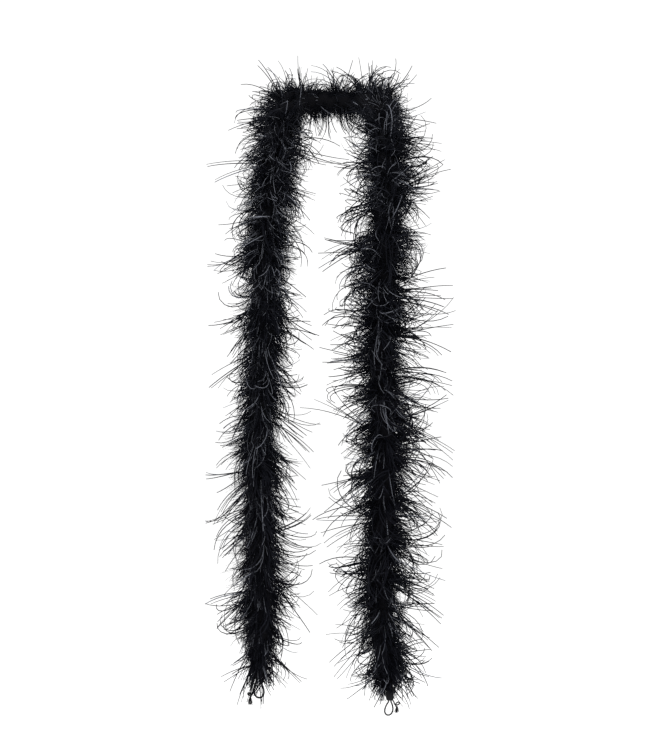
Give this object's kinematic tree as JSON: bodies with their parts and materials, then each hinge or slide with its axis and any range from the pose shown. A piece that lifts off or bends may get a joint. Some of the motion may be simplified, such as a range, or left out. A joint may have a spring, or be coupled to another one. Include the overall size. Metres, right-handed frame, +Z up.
{
  "type": "feather boa",
  "caption": "Black feather boa laid round a neck, both plumed tails hanging in front, each end finished with a whipped and knotted hanging loop.",
  "frame": {"origin": "the point where the strand rests on the nape of the wearer's neck", "axes": "+Z up, the wearer faces -Y, +X towards the side of the wearer's own left hand"},
  "size_m": [0.3016, 0.2893, 0.8815],
  "materials": {
    "barbs": "matte black feather barbs, marabou down with longer ostrich barbs",
    "quill": "split black-dyed feather quill, satin",
    "cord": "black three-strand cotton cord, matte",
    "thread": "black whipping thread, slight sheen"
  },
  "bodies": {
    "nape": {"core_cord_nape": "cord", "quill_strip_nape": "quill", "plume_nape_left": "barbs", "plume_nape": "barbs", "plume_nape_right": "barbs"},
    "shoulder_left": {"core_cord_shoulder_left": "cord", "quill_strip_shoulder_left": "quill", "plume_collar_left": "barbs", "plume_shoulder_left": "barbs", "plume_chest_left": "barbs"},
    "tail_left_1": {"core_cord_tail_left_1": "cord", "quill_strip_tail_left_1": "quill", "plume_tail_left_1": "barbs"},
    "tail_left_2": {"core_cord_tail_left_2": "cord", "quill_strip_tail_left_2": "quill", "plume_tail_left_2": "barbs"},
    "tail_left_3": {"core_cord_tail_left_3": "cord", "quill_strip_tail_left_3": "quill", "plume_tail_left_3": "barbs"},
    "tail_left_4": {"core_cord_tail_left_4": "cord", "quill_strip_tail_left_4": "quill", "plume_tail_left_4": "barbs"},
    "tail_left_5": {"core_cord_tail_left_5": "cord", "quill_strip_tail_left_5": "quill", "plume_tail_left_5": "barbs", "end_whipping_left": "thread"},
    "loop_left": {"hanging_loop_left": "cord", "loop_knot_left": "cord", "frayed_end_left": "cord"},
    "shoulder_right": {"core_cord_shoulder_right": "cord", "quill_strip_shoulder_right": "quill", "plume_collar_right": "barbs", "plume_shoulder_right": "barbs", "plume_chest_right": "barbs"},
    "tail_right_1": {"core_cord_tail_right_1": "cord", "quill_strip_tail_right_1": "quill", "plume_tail_right_1": "barbs"},
    "tail_right_2": {"core_cord_tail_right_2": "cord", "quill_strip_tail_right_2": "quill", "plume_tail_right_2": "barbs"},
    "tail_right_3": {"core_cord_tail_right_3": "cord", "quill_strip_tail_right_3": "quill", "plume_tail_right_3": "barbs"},
    "tail_right_4": {"core_cord_tail_right_4": "cord", "quill_strip_tail_right_4": "quill", "plume_tail_right_4": "barbs"},
    "tail_right_5": {"core_cord_tail_right_5": "cord", "quill_strip_tail_right_5": "quill", "plume_tail_right_5": "barbs", "end_whipping_right": "thread"},
    "loop_right": {"hanging_loop_right": "cord", "loop_knot_right": "cord", "frayed_end_right": "cord"}
  },
  "joints": [
    {"name": "neck_left_spread", "type": "hinge", "parent": "nape", "child": "shoulder_left", "pos_m": [-0.062, -0.028, 0], "axis": [0, 0, 1], "range_deg": [-20, 0]},
    {"name": "tail_left_1_swing", "type": "hinge", "parent": "shoulder_left", "child": "tail_left_1", "pos_m": [-0.0955, -0.16, -0.27], "axis": [1, 0, 0], "range_deg": [-35, 4]},
    {"name": "tail_left_2_sway", "type": "hinge", "parent": "tail_left_1", "child": "tail_left_2", "pos_m": [-0.0965, -0.16, -0.374], "axis": [0, 1, 0], "range_deg": [-4, 25]},
    {"name": "tail_left_3_swing", "type": "hinge", "parent": "tail_left_2", "child": "tail_left_3", "pos_m": [-0.103, -0.16, -0.478], "axis": [1, 0, 0], "range_deg": [-25, 15]},
    {"name": "tail_left_4_sway", "type": "hinge", "parent": "tail_left_3", "child": "tail_left_4", "pos_m": [-0.1, -0.16, -0.582], "axis": [0, 1, 0], "range_deg": [-8, 25]},
    {"name": "tail_left_5_swing", "type": "hinge", "parent": "tail_left_4", "child": "tail_left_5", "pos_m": [-0.0995, -0.16, -0.686], "axis": [1, 0, 0], "range_deg": [-25, 25]},
    {"name": "loop_left_swing", "type": "hinge", "parent": "tail_left_5", "child": "loop_left", "pos_m": [-0.103, -0.16, -0.7806], "axis": [1, 0, 0], "range_deg": [-30, 30]},
    {"name": "neck_right_spread", "type": "hinge", "parent": "nape", "child": "shoulder_right", "pos_m": [0.06, -0.028, 0], "axis": [0, 0, 1], "range_deg": [0, 20]},
    {"name": "tail_right_1_swing", "type": "hinge", "parent": "shoulder_right", "child": "tail_right_1", "pos_m": [0.062, -0.16, -0.27], "axis": [1, 0, 0], "range_deg": [-35, 4]},
    {"name": "tail_right_2_sway", "type": "hinge", "parent": "tail_right_1", "child": "tail_right_2", "pos_m": [0.0595, -0.16, -0.374], "axis": [0, 1, 0], "range_deg": [-25, 4]},
    {"name": "tail_right_3_swing", "type": "hinge", "parent": "tail_right_2", "child": "tail_right_3", "pos_m": [0.064, -0.16, -0.478], "axis": [1, 0, 0], "range_deg": [-25, 15]},
    {"name": "tail_right_4_sway", "type": "hinge", "parent": "tail_right_3", "child": "tail_right_4", "pos_m": [0.062, -0.16, -0.582], "axis": [0, 1, 0], "range_deg": [-25, 8]},
    {"name": "tail_right_5_swing", "type": "hinge", "parent": "tail_right_4", "child": "tail_right_5", "pos_m": [0.0595, -0.16, -0.686], "axis": [1, 0, 0], "range_deg": [-25, 25]},
    {"name": "loop_right_swing", "type": "hinge", "parent": "tail_right_5", "child": "loop_right", "pos_m": [0.071, -0.16, -0.8086], "axis": [1, 0, 0], "range_deg": [-30, 30]}
  ]
}
